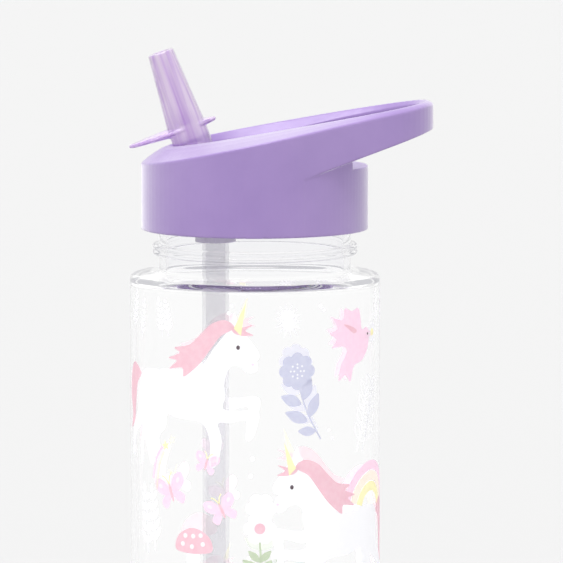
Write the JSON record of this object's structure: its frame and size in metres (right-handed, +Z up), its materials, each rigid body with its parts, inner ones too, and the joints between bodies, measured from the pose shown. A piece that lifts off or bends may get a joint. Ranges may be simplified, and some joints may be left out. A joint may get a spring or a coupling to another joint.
{
  "type": "kids water bottle",
  "caption": "Clear cylindrical straw bottle with a purple screw lid, a moulded-in carry handle and a flip-up drinking spout.",
  "frame": {"origin": "on the bottle's axis, in the plane of its foot ring", "axes": "+Z up along the bottle's axis, +X to the end of the carry handle; the XZ plane halves the lid"},
  "size_m": [0.0848, 0.07, 0.1838],
  "materials": {
    "clear_plastic": "clear gloss",
    "lid_plastic": "satin",
    "spout_plastic": "translucent gloss",
    "socket_plastic": "satin",
    "silicone": "matt"
  },
  "bodies": {
    "bottle": {"bottle_body": "clear_plastic"},
    "gasket": {"lid_gasket": "silicone"},
    "lid": {"lid_shell": "lid_plastic", "spout_seal": "silicone", "straw_socket": "socket_plastic", "straw": "clear_plastic", "vent_valve": "silicone"},
    "spout": {"spout": "spout_plastic"}
  },
  "joints": [
    {"name": "lid_rise", "type": "slide", "parent": "bottle", "child": "gasket", "axis": [0, 0, 1], "range_m": [0, 0.006]},
    {"name": "lid_turn", "type": "hinge", "parent": "gasket", "child": "lid", "pos_m": [0, 0, 0.14], "axis": [0, 0, 1], "range_deg": [0, 480]},
    {"name": "spout_flip", "type": "hinge", "parent": "lid", "child": "spout", "pos_m": [-0.01565, 0, 0.152], "axis": [0, 1, 0], "range_deg": [0, 98]}
  ],
  "couplings": [
    {"joint": "lid_rise", "follows": "lid_turn", "m_per_rad": 0.000716}
  ]
}
